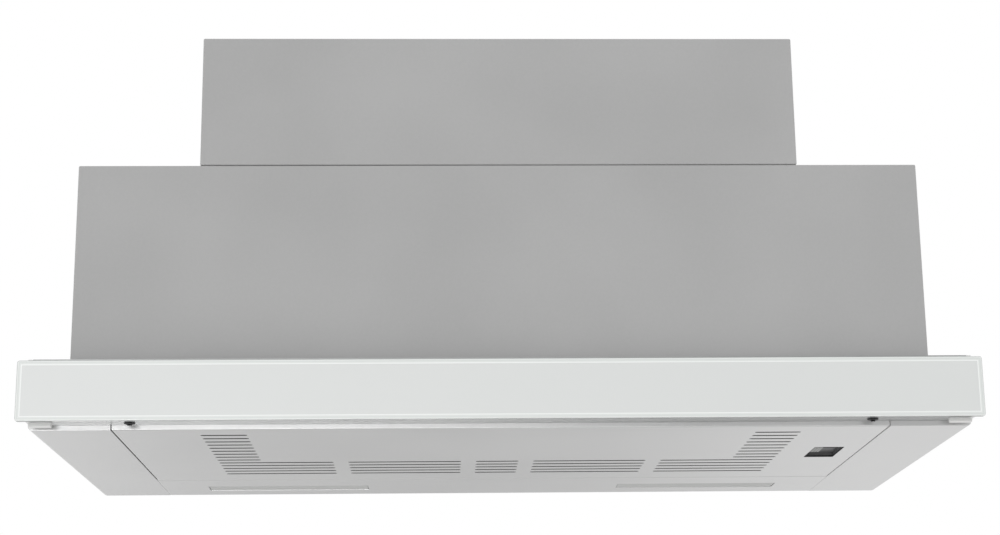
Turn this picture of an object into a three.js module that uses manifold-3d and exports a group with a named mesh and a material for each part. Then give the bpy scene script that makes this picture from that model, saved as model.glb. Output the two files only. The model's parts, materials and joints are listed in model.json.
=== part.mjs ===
// Pull-out range hood for a 60 cm wall cabinet, closed: a grey sheet-steel casing in two steps,
// a base with side wings, and a slider that carries the glass front, the slotted filter panel
// and the switch. Inside are the telescopic rails, the filters, the blower and the outlet flaps.
//
// Millimetres, +Z up, +X to the right seen from the front, +Y towards the wall.
// Every piece is drawn from one datum: y = 0 is the front of the glass, z = 0 the underside,
// x = 0 the middle. The finished group is set forward by half its depth, so the origin is the
// middle of its footprint.

import * as THREE from 'three';
import { mergeVertices } from 'three/addons/utils/BufferGeometryUtils.js';
import Module from 'manifold-3d';

const wasm = await Module();
wasm.setup();

// ---------------------------------------------------------------- driving dimensions

// overall
const hoodDepth = 300;            // glass front to wall
const seat = 0.3;                 // gap between two pieces that touch
const runningGap = 0.5;           // gap between pieces that slide past each other
const sheet = 1;                  // folded steel sheet

// glass front
const glassOverhang = 5;          // glass beyond the base, each end
const glassHeight = 37.8;
const glassThickness = 4;
const glassBottom = 3.3;          // above the underside
const glassCorner = 1.5;

// casing
const casingFront = 20;
const lowerWidth = 541;
const lowerTop = 172.8;
const upperWidth = 386;
const upperTop = 260;
const ledgeWidth = 10;            // inward folds of both casings
const fixingHoleRadius = 2.5;
const fixingHoleFront = 70;       // cabinet screws, from the glass front
const fixingHoleToWall = 50;
const fixingHoleHeight = 130;

// base
const wingOverhang = 23.5;        // base beyond the lower casing, each side
const baseFront = 16.5;           // folded-up front edge, behind the front profile's floor
const hemWidth = 10;              // double edge that meets the cabinet side
const wingBend = 3;               // outer radius of the bend along each side
const wingBendSteps = 3;
const edgeRise = 1.2;             // straight part of the front and side edges, above that bend
const seamInset = 27.5;           // gap between wing and panel, from the casing's side
const seamGap = 1.2;
const flangeHeight = 5.7;         // folded-up edges along the seam
const lampSeamGap = 0.4;

// slider
const profileRise = 1.5;          // front profile above the glass
const profileInset = 8.8;         // front profile inside the glass, each end
const profileRoom = 0.9;          // above it, under the casing front
const profileBackDrop = 4.7;      // back wall of the profile starts this far above its floor
const endCapThickness = 2.7;
const endCapPlug = 10;
const armGauge = 1.2;
const armFlange = 25;             // lower fold, carries panel and switch
const armTopFlange = 11;          // upper fold, carries the cover
const sliderToWall = 74;          // closed slider's rear end to the wall
const armTop = 36.5;
const coverShortfall = 31;        // cover ends this far before the arms
const coverLip = 7.8;
const barDepth = 12;

// telescopic rails
const railFront = 24;
const railToWall = 16;
const railHeight = 27;
const railDepth = 10;
const railGauge = 1.2;
const innerRailStand = 1.3;       // inner rail stands this far out of the outer one
const railMiddle = 22;            // height of the rails' centre line

// filter panel
const panelShortfall = 1.2;       // panel ends this far before the arms
const hingeToRear = 4.5;          // hinge line to the arms' rear end
const hingeHeight = 3.2;
const hingePinRadius = 1;
const hingeEyeRadius = 2.5;
const hingeEarGauge = 2;
const slotWidth = 3.2;
const slotPitch = 12.25;
const slotFirst = 36.3;           // first row, from the glass front
const slotBorder = 25;            // least distance of a row from the rear edge
const longRows = 5;               // rows at the rear that run across the panel
const middleSlotHalf = 14.8;
const innerSlotNear = 24.6;
const innerSlotFar = 102.2;
const outerSlotNear = 112;
const slotToWindow = 19.5;
const shortSlotLength = 29.5;     // rows in front only have this one
const windowWidth = 20;
const windowLength = 41.5;
const windowInset = 33.5;         // window's left edge from the seam
const windowFront = 95;

// switch
const switchWall = 3.4;
const switchDepth = 15.7;
const switchRecess = 1.9;         // floor of the recess behind its rim
const knobWidth = 7.5;
const knobLength = 18;
const knobRise = 1.5;
const knobToWindow = 11;          // knob behind the front edge of the window
const knobStem = 5;
const knobStemLength = 4;
const knobInset = 0.5;            // rest position inside the window's left edge

// catches
const catchFront = 24;
const catchLength = 12;
const catchWidth = 6.4;
const catchSlot = 1.8;
const catchInset = 6.8;           // from the seam
const tongueGauge = 1.2;
const tongueHeight = 3.7;
const tongueLength = 8;

// filters
const cassetteThickness = 8;
const cassetteRail = 10;
const cassetteMesh = 3;
const filterToSwitch = 6.1;       // side of the panel's filter to the switch
const panelFilterFront = 24;
const filterToPanelRear = 12.8;
const suctionFront = 44;
const suctionToWall = 30;
const suctionToSide = 47;         // suction openings to the casing's inner face
const suctionBridge = 12;         // web between the two openings
const cassetteTab = 14;
const latchWidth = 27;
const latchLength = 8;
const latchHeight = 3;
const boltLength = 6;
const boltHeight = 1.5;
const latchTravel = 5;

// lamps
const lampNear = 92.5;
const lampLength = 117.5;
const lampToWall = 22;
const lampDepth = 21;
const lampLap = 2.5;              // diffuser behind the edge of its window
const diffuserThickness = 3;
const lensGap = 2.2;              // in front of the lens, inside its window
const lampBoxHeight = 9.4;

// blower
const fanBack = 118;              // fan axis, from the glass front
const fanClearance = 8.9;         // scroll above the inner filters
const fanRadius = 62;
const bladeDepth = 12;
const bladeCount = 36;
const bladeGauge = 1;
const bladeLean = 0.32;           // sagitta of a blade as a share of its chord
const fanHalfWidth = 48;
const fanSideGap = 7;             // end of the fan to the outside of its housing
const fanDisc = 2.4;
const fanRing = 2.4;
const hubRadius = 12;
const hubLength = 13.5;
const shaftRadius = 4;
const shaftLength = 33;
const tongueGap = 8;              // fan to the scroll's tongue
const scrollGrowth = 28;          // radius gained from the tongue to the outlet
const scrollTongue = 100;         // degrees from +Y towards +Z
const scrollStep = 10;
const scrollWall = 2;
const inletLip = 4;
const outletFlange = 9;
const motorRadius = 36;
const motorBoss = 12;
const motorShoulder = 7.5;
const bracketGauge = 2;
const bracketArm = 16;
const bracketLap = 14;            // arms beyond the inlet's edge
const bracketPlate = 28;

// outlet
const collarRadius = 74;
const collarWall = 2;
const collarHeight = 21.7;
const collarFlange = 18;
const collarFlangeGauge = 1.7;
const collarLedge = 6;
const rodRadius = 1.5;
const rodBoss = 6;
const flapGauge = 1.5;
const flapGap = 0.4;              // each side of the hinge line
const knuckleRadius = 3.2;
const knuckleLength = 20;
const knuckleFirst = -46;         // the front flap's left knuckle
const knuckleSpacing = 50;

// electrics
const capacitorRadius = 17;
const capacitorLength = 55;
const glandRadius = 6;
const glandFlange = 10;
const glandBore = 3.5;
const glandOffset = 150;
const glandToWall = 30;
const terminalWidth = 90;
const terminalDepth = 35;
const terminalHeight = 60;
const terminalCorner = 3;
const microHalf = 10;
const microDepth = 10;
const microHeight = 13;
const plungerRadius = 1.2;
const screwHeadRadius = 3.5;
const screwRadius = 1.6;
const screwHead = 0.8;
const screwLength = 6;
const screwInset = 60.2;          // screws from the ends of the front profile
const screwBack = 8;

// ---------------------------------------------------------------- sizes that follow

const baseWidth = lowerWidth + 2 * wingOverhang;
const glassWidth = baseWidth + 2 * glassOverhang;
const edgeHeight = wingBend + edgeRise;
const profileFront = glassThickness + seat;
const profileBack = casingFront - seat;
const profileBottom = glassBottom;
const profileTop = glassBottom + glassHeight + profileRise;
const profileHalf = glassWidth / 2 - profileInset;
const screwOffset = profileHalf - screwInset;
const mouthTop = profileTop + profileRoom;       // underside of the casing front
const casingInner = lowerWidth / 2 - sheet;
const upperInner = upperWidth / 2 - sheet;
const wallInner = hoodDepth - sheet;
const fixingHoleRear = hoodDepth - fixingHoleToWall;
const seamOffset = lowerWidth / 2 - seamInset;   // middle of the gap between wing and panel
const wingInner = seamOffset + seamGap / 2;
const panelHalf = seamOffset - seamGap / 2;
const lampPanelHalf = wingInner - lampSeamGap;
const outerRailFace = casingInner - seat;
const innerRailFace = outerRailFace - railDepth - innerRailStand;
const armFace = innerRailFace - seat;            // outer face of the arm
const armBottom = flangeHeight + seat;
const armRear = hoodDepth - sliderToWall;
const coverRear = armRear - coverShortfall;
const railLength = hoodDepth - railFront - railToWall;
const panelRear = armRear - panelShortfall;
const hingeBack = armRear - hingeToRear;         // hinge line, from the glass front
const frameBottom = mouthTop + sheet + seat;     // suction plate on its ledge
const frameTop = frameBottom + sheet;
const suctionRear = hoodDepth - suctionToWall;
const suctionHalf = casingInner - suctionToSide; // outer edge of the suction openings
const windowLeft = seamOffset - windowInset;
const slotRows = Math.floor((panelRear - slotBorder - slotFirst) / slotPitch) + 1;
const rowCentre = (row) => slotFirst + row * slotPitch;
const outerSlotFar = windowLeft - slotToWindow;
const slotSpans = [
  [-middleSlotHalf, middleSlotHalf],
  [innerSlotNear, innerSlotFar],
  [outerSlotNear, outerSlotFar],
];
const catchOffset = seamOffset - catchInset;     // from the middle of the hood
const lampFar = lampNear + lampLength;
const lampRear = hoodDepth - lampToWall;
const lampFront = lampRear - lampDepth;
const inletRadius = fanRadius - bladeDepth;
const scrollHalfWidth = fanHalfWidth + fanSideGap;
const scrollStart = fanRadius + tongueGap;       // inner radius at the tongue
const scrollEnd = scrollStart + scrollGrowth;    // inner radius at the outlet
const scrollBelow = scrollRadius(270);           // inner radius straight below the fan
const fanHeight = frameBottom + cassetteThickness + fanClearance + scrollWall + scrollBelow;
const outletFront = fanBack + scrollStart * Math.cos(THREE.MathUtils.degToRad(scrollTongue));
const outletRear = fanBack + scrollEnd;
const outletCentre = (outletFront + outletRear) / 2;
const flapBottom = upperTop + seat + collarFlangeGauge + 2 * sheet + seat;
const rodHeight = flapBottom + flapGauge + rodRadius + seat;
const glandBack = hoodDepth - glandToWall;

// ---------------------------------------------------------------- shaping tools

function solidOf(geometry) {
  const bare = geometry.clone();
  bare.deleteAttribute('normal');
  bare.deleteAttribute('uv');
  const merged = mergeVertices(bare, 1e-5);
  return new wasm.Manifold(new wasm.Mesh({
    numProp: 3,
    vertProperties: new Float32Array(merged.attributes.position.array),
    triVerts: new Uint32Array(merged.index.array),
  }));
}

function geometryOf(solid) {
  const mesh = solid.getMesh();
  const geometry = new THREE.BufferGeometry();
  geometry.setAttribute('position', new THREE.BufferAttribute(mesh.vertProperties, 3));
  geometry.setIndex(new THREE.BufferAttribute(mesh.triVerts, 1));
  geometry.computeVertexNormals();
  return geometry;
}

function join(...pieces) {
  return geometryOf(pieces.map(solidOf).reduce((all, piece) => all.add(piece)));
}

function cut(piece, ...tools) {
  return geometryOf(tools.map(solidOf).reduce((left, tool) => left.subtract(tool), solidOf(piece)));
}

function slab([x0, x1], [y0, y1], [z0, z1]) {
  const geometry = new THREE.BoxGeometry(x1 - x0, y1 - y0, z1 - z0);
  return geometry.translate((x0 + x1) / 2, (y0 + y1) / 2, (z0 + z1) / 2);
}

function extrude(shape, depth, curveSegments = 6) {
  return new THREE.ExtrudeGeometry(shape, { depth, bevelEnabled: false, curveSegments });
}

// a shape drawn in x, y and raised from z0 to z1
function raise(shape, [z0, z1], curveSegments) {
  return extrude(shape, z1 - z0, curveSegments).translate(0, 0, z0);
}

// a shape drawn in x, z and drawn out from y0 to y1
function drawBack(shape, [y0, y1], curveSegments) {
  return extrude(shape, y1 - y0, curveSegments).rotateX(Math.PI / 2).translate(0, y1, 0);
}

// a shape drawn in y, z and drawn out from x0 to x1
function drawAcross(shape, [x0, x1], curveSegments) {
  const turn = new THREE.Matrix4().makeBasis(
    new THREE.Vector3(0, 1, 0),
    new THREE.Vector3(0, 0, 1),
    new THREE.Vector3(1, 0, 0),
  );
  return extrude(shape, x1 - x0, curveSegments).applyMatrix4(turn).translate(x0, 0, 0);
}

// a radius-against-height profile turned about an axis
function turn(profile, axis, [x, y, z], segments = 32) {
  const points = profile.map(([radius, along]) => new THREE.Vector2(radius, along));
  const geometry = new THREE.LatheGeometry(points, segments);
  if (axis === 'z') geometry.rotateX(Math.PI / 2);
  if (axis === 'x') geometry.rotateZ(-Math.PI / 2);
  return geometry.translate(x, y, z);
}

function rod(axis, radius, [from, to], [x, y, z], segments = 16) {
  return turn([[0, from], [radius, from], [radius, to], [0, to]], axis, [x, y, z], segments);
}

// the outline of a bent sheet: a line through its outer face, thickened to the left
function bentSheet(line, gauge = sheet) {
  const points = line.map(([a, b]) => new THREE.Vector2(a, b));
  const left = points.slice(1).map((point, i) => {
    const along = point.clone().sub(points[i]).normalize();
    return new THREE.Vector2(-along.y, along.x);
  });
  const inner = points.map((point, i) => {
    const before = left[Math.max(i - 1, 0)];
    const after = left[Math.min(i, left.length - 1)];
    const mitre = before.clone().add(after).divideScalar(1 + before.dot(after));
    return point.clone().addScaledVector(mitre, gauge);
  });
  return new THREE.Shape([...points, ...inner.reverse()]);
}

function roundedRectangle([a0, a1], [b0, b1], radius) {
  const shape = new THREE.Shape();
  shape.moveTo(a0 + radius, b0);
  shape.lineTo(a1 - radius, b0);
  shape.absarc(a1 - radius, b0 + radius, radius, -Math.PI / 2, 0, false);
  shape.lineTo(a1, b1 - radius);
  shape.absarc(a1 - radius, b1 - radius, radius, 0, Math.PI / 2, false);
  shape.lineTo(a0 + radius, b1);
  shape.absarc(a0 + radius, b1 - radius, radius, Math.PI / 2, Math.PI, false);
  shape.lineTo(a0, b0 + radius);
  shape.absarc(a0 + radius, b0 + radius, radius, Math.PI, 1.5 * Math.PI, false);
  return shape;
}

// the same piece for the other side of the hood
function mirrored(geometry) {
  const copy = geometry.index ? geometry.clone() : mergeVertices(geometry);
  copy.scale(-1, 1, 1);
  const order = copy.index.array;
  for (let i = 0; i < order.length; i += 3) {
    [order[i], order[i + 1]] = [order[i + 1], order[i]];
  }
  copy.computeVertexNormals();
  return copy;
}

// a box of sheet with an open underside
function hollowBox(halfWidth, [y0, y1], [z0, z1]) {
  const outer = slab([-halfWidth, halfWidth], [y0, y1], [z0, z1]);
  const innerHalf = halfWidth - sheet;
  const inner = slab([-innerHalf, innerHalf], [y0 + sheet, y1 - sheet], [z0 - sheet, z1 - sheet]);
  return cut(outer, inner);
}

// a ring of sheet folded inwards from the walls of a box
function ledge(halfWidth, [y0, y1], bottom) {
  const overlap = sheet / 2;
  const reach = ledgeWidth;
  const outer = slab(
    [-halfWidth - overlap, halfWidth + overlap],
    [y0 - overlap, y1 + overlap],
    [bottom, bottom + sheet],
  );
  const inner = slab(
    [-halfWidth + reach, halfWidth - reach],
    [y0 + reach, y1 - reach],
    [bottom - sheet, bottom + 2 * sheet],
  );
  return cut(outer, inner);
}

// ---------------------------------------------------------------- casing and base

function lowerCasing() {
  const half = lowerWidth / 2;
  const bottom = sheet + seat;
  const box = hollowBox(half, [casingFront, hoodDepth], [bottom, lowerTop]);
  const ring = ledge(casingInner, [casingFront + sheet, wallInner], mouthTop);
  const foot = slab([casingInner - ledgeWidth, half - sheet / 2], [casingFront, hoodDepth],
    [bottom, bottom + sheet]);
  const mouth = slab([-casingInner, casingInner], [casingFront - sheet, casingFront + 2 * sheet],
    [0, mouthTop]);
  const fanHole = slab(
    [-upperInner + ledgeWidth, upperInner - ledgeWidth],
    [casingFront + sheet + ledgeWidth, wallInner - ledgeWidth],
    [lowerTop - 2 * sheet, lowerTop + sheet],
  );
  const screwHoles = [fixingHoleFront, fixingHoleRear].map((y) => (
    rod('x', fixingHoleRadius, [-half - sheet, half + sheet], [0, y, fixingHoleHeight], 12)
  ));
  return cut(join(box, ring, foot, mirrored(foot)), mouth, fanHole, ...screwHoles);
}

function upperCasing() {
  const bottom = lowerTop + seat;
  const box = hollowBox(upperWidth / 2, [casingFront, hoodDepth], [bottom, upperTop]);
  const ring = ledge(upperInner, [casingFront + sheet, wallInner], bottom);
  const through = [upperTop - 2 * sheet, upperTop + sheet];
  const airHole = rod('z', collarRadius - collarWall, through, [0, outletCentre, 0], 48);
  const glandHole = rod('z', glandRadius + seat, through, [glandOffset, glandBack, 0]);
  return cut(join(box, ring), airHole, glandHole);
}

function wing() {
  const outer = baseWidth / 2;
  const bend = Array.from({ length: wingBendSteps + 1 }, (_, step) => {
    const angle = (step / wingBendSteps) * (Math.PI / 2);
    return [outer - wingBend + wingBend * Math.sin(angle), wingBend - wingBend * Math.cos(angle)];
  });
  const section = bentSheet([
    [wingInner, flangeHeight],
    [wingInner, 0],
    ...bend,
    [outer, edgeHeight],
    [outer - hemWidth, edgeHeight],
  ]);
  const front = [[wingInner, 0], ...bend, [outer, edgeHeight], [wingInner, edgeHeight]];
  const lip = new THREE.Shape(front.map(([x, z]) => new THREE.Vector2(x, z)));
  const atWall = slab([wingInner - sheet, wingInner + 2 * sheet], [wallInner - seat, hoodDepth + sheet],
    [sheet, flangeHeight + sheet]);
  const body = drawBack(section, [baseFront, hoodDepth]);
  return cut(join(body, drawBack(lip, [baseFront, baseFront + sheet])), atWall);
}

function lampPanel() {
  const front = armRear + 2 * seat;
  const section = bentSheet([[hoodDepth, 0], [front, 0], [front, flangeHeight]].reverse());
  const plate = drawAcross(section, [-lampPanelHalf, lampPanelHalf]);
  const edge = slab([lampPanelHalf - sheet, lampPanelHalf], [front, wallInner - seat],
    [0, flangeHeight]);
  const openings = [1, -1].map((side) => slab(
    [Math.min(side * lampNear, side * lampFar), Math.max(side * lampNear, side * lampFar)],
    [lampFront, lampRear],
    [-sheet, 2 * sheet],
  ));
  return cut(join(plate, edge, mirrored(edge)), ...openings);
}

function lampDiffuser() {
  const bottom = sheet + seat;
  const plate = slab([lampNear - lampLap, lampFar + lampLap], [lampFront - lampLap, lampRear + lampLap],
    [bottom, bottom + diffuserThickness]);
  const lens = slab([lampNear + seat, lampFar - seat], [lampFront + lensGap, lampRear - seat],
    [seat, bottom + sheet]);
  return join(plate, lens);
}

function lampHousing() {
  const bottom = sheet + seat;
  const gap = lampLap + seat;
  const section = bentSheet([
    [lampFront - gap - 2 * sheet, bottom],
    [lampFront - gap, bottom],
    [lampFront - gap, bottom + lampBoxHeight],
    [lampRear + gap, bottom + lampBoxHeight],
    [lampRear + gap, bottom],
    [lampRear + gap + 2 * sheet, bottom],
  ]);
  return drawAcross(section, [lampNear - gap, lampFar + gap]);
}

// ---------------------------------------------------------------- slider

function glassFront() {
  const half = glassWidth / 2;
  const pane = roundedRectangle([-half, half], [glassBottom, glassBottom + glassHeight], glassCorner);
  return drawBack(pane, [0, glassThickness], 2);
}

function frontProfile() {
  const section = bentSheet([
    [profileBack, profileBottom + profileBackDrop],
    [profileBack, profileTop],
    [profileFront, profileTop],
    [profileFront, profileBottom],
    [baseFront - seat, profileBottom],
  ]);
  const channel = drawAcross(section, [-profileHalf, profileHalf]);
  const screwHoles = [-screwOffset, screwOffset].map((x) => (
    rod('z', screwRadius + seat, [profileBottom - sheet, profileBottom + 2 * sheet], [x, screwBack, 0])
  ));
  return cut(channel, ...screwHoles);
}

function profileEndCap() {
  const gap = sheet + seat;
  const plate = slab([profileHalf + seat, profileHalf + seat + endCapThickness],
    [profileFront, profileBack], [profileBottom, profileTop]);
  const plug = slab([profileHalf - endCapPlug, profileHalf + 2 * seat],
    [profileFront + gap, profileBack - gap], [profileBottom + gap, profileTop - gap]);
  const core = slab([profileHalf - endCapPlug - sheet, profileHalf - sheet],
    [profileFront + 3 * gap, profileBack - 3 * gap], [profileBottom + 3 * gap, profileTop - 3 * gap]);
  // room for the wing's front edge, as under the back wall of the profile
  const notch = slab([profileHalf - endCapPlug - sheet, glassWidth / 2], [baseFront - seat, hoodDepth],
    [0, profileBottom + profileBackDrop]);
  return cut(join(plate, plug), core, notch);
}

function profileScrew() {
  const top = profileBottom - seat;
  return turn([
    [0, top - screwHead],
    [screwHeadRadius - screwHead / 2, top - screwHead],
    [screwHeadRadius, top - screwHead / 2],
    [screwHeadRadius, top],
    [screwRadius, top],
    [screwRadius, top + screwLength],
    [0, top + screwLength],
  ], 'z', [screwOffset, screwBack, 0], 14);
}

function sliderArm() {
  const section = bentSheet([
    [armFace - armTopFlange, armTop],
    [armFace, armTop],
    [armFace, armBottom],
    [armFace - armFlange, armBottom],
  ].reverse(), armGauge);
  const channel = drawBack(section, [casingFront, armRear]);
  const inner = armFace - armFlange;
  const frontPlate = slab([inner, armFace], [casingFront, casingFront + armGauge],
    [profileBottom + profileBackDrop + sheet, armTop]);
  const earOuter = panelHalf - sheet - hingeEarGauge / 2;
  const earRadius = hingeHeight - sheet - seat;
  const earOutline = new THREE.Shape();
  earOutline.moveTo(hingeBack + earRadius, armBottom + armGauge / 2);
  earOutline.lineTo(hingeBack - earRadius, armBottom + armGauge / 2);
  earOutline.lineTo(hingeBack - earRadius, hingeHeight);
  earOutline.absarc(hingeBack, hingeHeight, earRadius, Math.PI, 2 * Math.PI, false);
  const ear = drawAcross(earOutline, [earOuter - hingeEarGauge, earOuter], 6);
  const eye = rod('x', hingePinRadius + seat, [earOuter - 2 * hingeEarGauge, earOuter + sheet],
    [0, hingeBack, hingeHeight]);
  return cut(join(channel, frontPlate, ear), eye);
}

function hingePin() {
  const ear = panelHalf - sheet - hingeEarGauge / 2;
  return rod('x', hingePinRadius, [ear - hingeEarGauge - sheet, panelHalf - seat],
    [0, hingeBack, hingeHeight], 16);
}

function sliderCover() {
  const top = armTop + seat + sheet;
  const flangeHalf = armFace - armFlange - seat;
  const section = bentSheet([
    [coverRear, top - coverLip],
    [coverRear, top],
    [casingFront, top],
    [casingFront, top - 2 * coverLip],
  ]);
  const plate = slab([-armFace, armFace], [casingFront, coverRear], [top - sheet, top]);
  return join(drawAcross(section, [-flangeHalf, flangeHalf]), plate);
}

function sliderRearBar() {
  const bottom = armBottom + armGauge + seat;
  const top = armTop - armGauge - seat;
  const section = bentSheet([
    [armRear - barDepth, bottom],
    [armRear, bottom],
    [armRear, top],
    [armRear - barDepth, top],
  ]);
  const half = armFace - armGauge - seat;
  return drawAcross(section, [-half, half]);
}

// ---------------------------------------------------------------- telescopic rails

function railSection(outerX, innerX, height, opensInward) {
  const low = railMiddle - height / 2;
  const high = railMiddle + height / 2;
  const webX = opensInward ? outerX : innerX;
  const freeX = opensInward ? innerX : outerX;
  const line = [[freeX, low], [webX, low], [webX, high], [freeX, high]];
  return bentSheet(opensInward ? line : line.reverse(), railGauge);
}

function rail(outerX, innerX, height, opensInward) {
  return drawBack(railSection(outerX, innerX, height, opensInward), [railFront, railFront + railLength]);
}

function outerRail() {
  return rail(outerRailFace, outerRailFace - railDepth, railHeight, true);
}

function middleRail() {
  const face = outerRailFace - railGauge - seat;
  return rail(face, outerRailFace - railDepth + seat, railHeight - 2 * railGauge - 2 * seat, true);
}

function innerRail() {
  const height = railHeight - 4 * railGauge - 4 * seat;
  return rail(outerRailFace - 2 * railGauge - 3 * seat, innerRailFace, height, false);
}

// ---------------------------------------------------------------- filter panel and its filter

function slotCutter([x0, x1], y) {
  const radius = slotWidth / 2;
  const outline = new THREE.Shape();
  outline.moveTo(x0 + radius, y - radius);
  outline.lineTo(x1 - radius, y - radius);
  outline.absarc(x1 - radius, y, radius, -Math.PI / 2, Math.PI / 2, false);
  outline.lineTo(x0 + radius, y + radius);
  outline.absarc(x0 + radius, y, radius, Math.PI / 2, 1.5 * Math.PI, false);
  return raise(outline, [-sheet, 2 * sheet], 2);
}

function slotRow(row) {
  const short = [outerSlotFar - shortSlotLength, outerSlotFar];
  const spans = row < slotRows - longRows ? [short] : slotSpans;
  return spans.flatMap(([x0, x1]) => {
    const slot = slotCutter([x0, x1], rowCentre(row));
    return x0 < 0 ? [slot] : [slot, mirrored(slot)];
  });
}

function panelSideFlange() {
  const outline = new THREE.Shape();
  outline.moveTo(baseFront, 0);
  outline.lineTo(hingeBack, 0);
  outline.lineTo(hingeBack + hingeEyeRadius, hingeHeight);
  outline.absarc(hingeBack, hingeHeight, hingeEyeRadius, 0, Math.PI / 2, false);
  outline.lineTo(casingFront, flangeHeight);
  outline.lineTo(baseFront, edgeHeight);
  const flange = drawAcross(outline, [panelHalf - sheet, panelHalf], 6);
  const eye = rod('x', hingePinRadius + seat, [panelHalf - 2 * sheet, panelHalf + sheet],
    [0, hingeBack, hingeHeight]);
  return cut(flange, eye);
}

function catchTongue() {
  const middle = catchFront + catchLength / 2;
  return slab([catchOffset - tongueGauge / 2, catchOffset + tongueGauge / 2],
    [middle - tongueLength / 2, middle + tongueLength / 2], [sheet / 2, sheet + tongueHeight]);
}

function filterPanel() {
  const section = bentSheet([[baseFront, edgeHeight], [baseFront, 0], [panelRear, 0]]);
  const plate = drawAcross(section, [-panelHalf, panelHalf]);
  const flange = panelSideFlange();
  const tongue = catchTongue();
  const slots = Array.from({ length: slotRows }, (_, row) => slotRow(row)).flat();
  const window = slab([windowLeft, windowLeft + windowWidth], [windowFront, windowFront + windowLength],
    [-sheet, 2 * sheet]);
  return cut(join(plate, flange, mirrored(flange), tongue, mirrored(tongue)), window, ...slots);
}

function panelCatch() {
  const high = armBottom - seat;
  const low = sheet + 2 * seat;
  const outer = catchWidth / 2;
  const inner = catchSlot / 2;
  const roof = sheet + tongueHeight + seat;
  const outline = new THREE.Shape([
    [-outer, low], [-inner, low], [-inner, roof], [inner, roof],
    [inner, low], [outer, low], [outer, high], [-outer, high],
  ].map(([x, z]) => new THREE.Vector2(catchOffset + x, z)));
  return drawBack(outline, [catchFront, catchFront + catchLength]);
}

// a mesh cassette: a raised rim round a thinner core of expanded metal
function cassette([x0, x1], [y0, y1], bottom) {
  const frame = slab([x0, x1], [y0, y1], [bottom, bottom + cassetteThickness]);
  const floor = (cassetteThickness - cassetteMesh) / 2;
  const well = [[x0 + cassetteRail, x1 - cassetteRail], [y0 + cassetteRail, y1 - cassetteRail]];
  const under = slab(...well, [bottom - sheet, bottom + floor]);
  const over = slab(...well, [bottom + cassetteThickness - floor, bottom + cassetteThickness + sheet]);
  return cut(frame, under, over);
}

function panelFilter() {
  const half = windowLeft - switchWall - filterToSwitch;
  return cassette([-half, half], [panelFilterFront, panelRear - filterToPanelRear], sheet + seat);
}

// ---------------------------------------------------------------- suction plate and inner filters

function suctionOpening() {
  return slab([suctionBridge / 2, suctionHalf], [suctionFront, suctionRear],
    [frameBottom - sheet, frameTop + sheet]);
}

function suctionPlate() {
  const half = casingInner - seat;
  const plate = slab([-half, half], [casingFront + sheet + seat, wallInner - seat],
    [frameBottom, frameTop]);
  return cut(plate, suctionOpening(), mirrored(suctionOpening()));
}

function innerFilter() {
  const x = [suctionBridge / 2 + runningGap, suctionHalf - runningGap];
  const y = [suctionFront + runningGap, suctionRear - runningGap];
  const body = cassette(x, y, frameBottom);
  const tabHeight = [frameTop + seat, frameTop + seat + sheet];
  const tabY = [suctionRear - cassetteRail, suctionRear + ledgeWidth / 2];
  const tabs = [0.25, 0.75].map((share) => {
    const middle = THREE.MathUtils.lerp(x[0], x[1], share);
    return slab([middle - cassetteTab / 2, middle + cassetteTab / 2], tabY, tabHeight);
  });
  const middle = (x[0] + x[1]) / 2;
  const half = latchWidth / 2 + seat;
  const pocketRear = y[0] + runningGap + latchLength + latchTravel + seat;
  const pocketRim = slab([middle - half - sheet, middle + half + sheet],
    [y[0], pocketRear + 2 * sheet], [frameBottom, frameBottom + cassetteThickness]);
  const pocket = slab([middle - half, middle + half], [y[0] - sheet, pocketRear],
    [frameBottom - sheet, frameTop + seat + latchHeight + seat]);
  return cut(join(body, ...tabs, pocketRim), pocket);
}

function filterLatch() {
  const middle = (suctionBridge / 2 + suctionHalf) / 2;
  const front = suctionFront + 2 * runningGap;
  const half = latchWidth / 2;
  const block = slab([middle - half, middle + half], [front, front + latchLength],
    [frameBottom, frameTop + seat + latchHeight]);
  const finger = slab([middle - half / 2, middle + half / 2],
    [front + latchLength / 3, front + latchLength], [frameBottom - 2 * sheet, frameBottom + sheet]);
  const bolt = slab([middle - half / 2, middle + half / 2], [front - boltLength, front + sheet],
    [frameTop + seat, frameTop + seat + boltHeight]);
  return join(block, finger, bolt);
}

// ---------------------------------------------------------------- switch

const switchLeft = windowLeft - switchWall;
const switchRight = armFace - armFlange - seat;
const switchFront = windowFront - switchWall;
const switchRear = windowFront + windowLength + switchWall;
const knobFront = windowFront + knobToWindow;
const knobLeft = windowLeft + knobInset;
const knobTravel = windowWidth - knobWidth - 2 * knobInset;

function switchHousing() {
  const bottom = sheet + seat;
  const body = slab([switchLeft, switchRight], [switchFront, switchRear], [bottom, bottom + switchDepth]);
  const recess = slab([windowLeft - runningGap, windowLeft + windowWidth + runningGap],
    [windowFront - runningGap, windowFront + windowLength + runningGap],
    [0, bottom + switchRecess]);
  const middle = knobFront + knobLength / 2;
  const track = slab([knobLeft - knobInset, knobLeft + knobWidth + knobTravel + knobInset],
    [middle - knobStem / 2 - seat, middle + knobStem / 2 + seat],
    [0, bottom + switchRecess + knobStemLength + sheet]);
  const shelf = armBottom + armGauge + seat;
  const ear = slab([switchRight - sheet, switchRight + armFlange / 2], [switchFront, switchRear],
    [shelf, shelf + 2 * sheet]);
  return cut(join(body, ear), recess, track);
}

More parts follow.
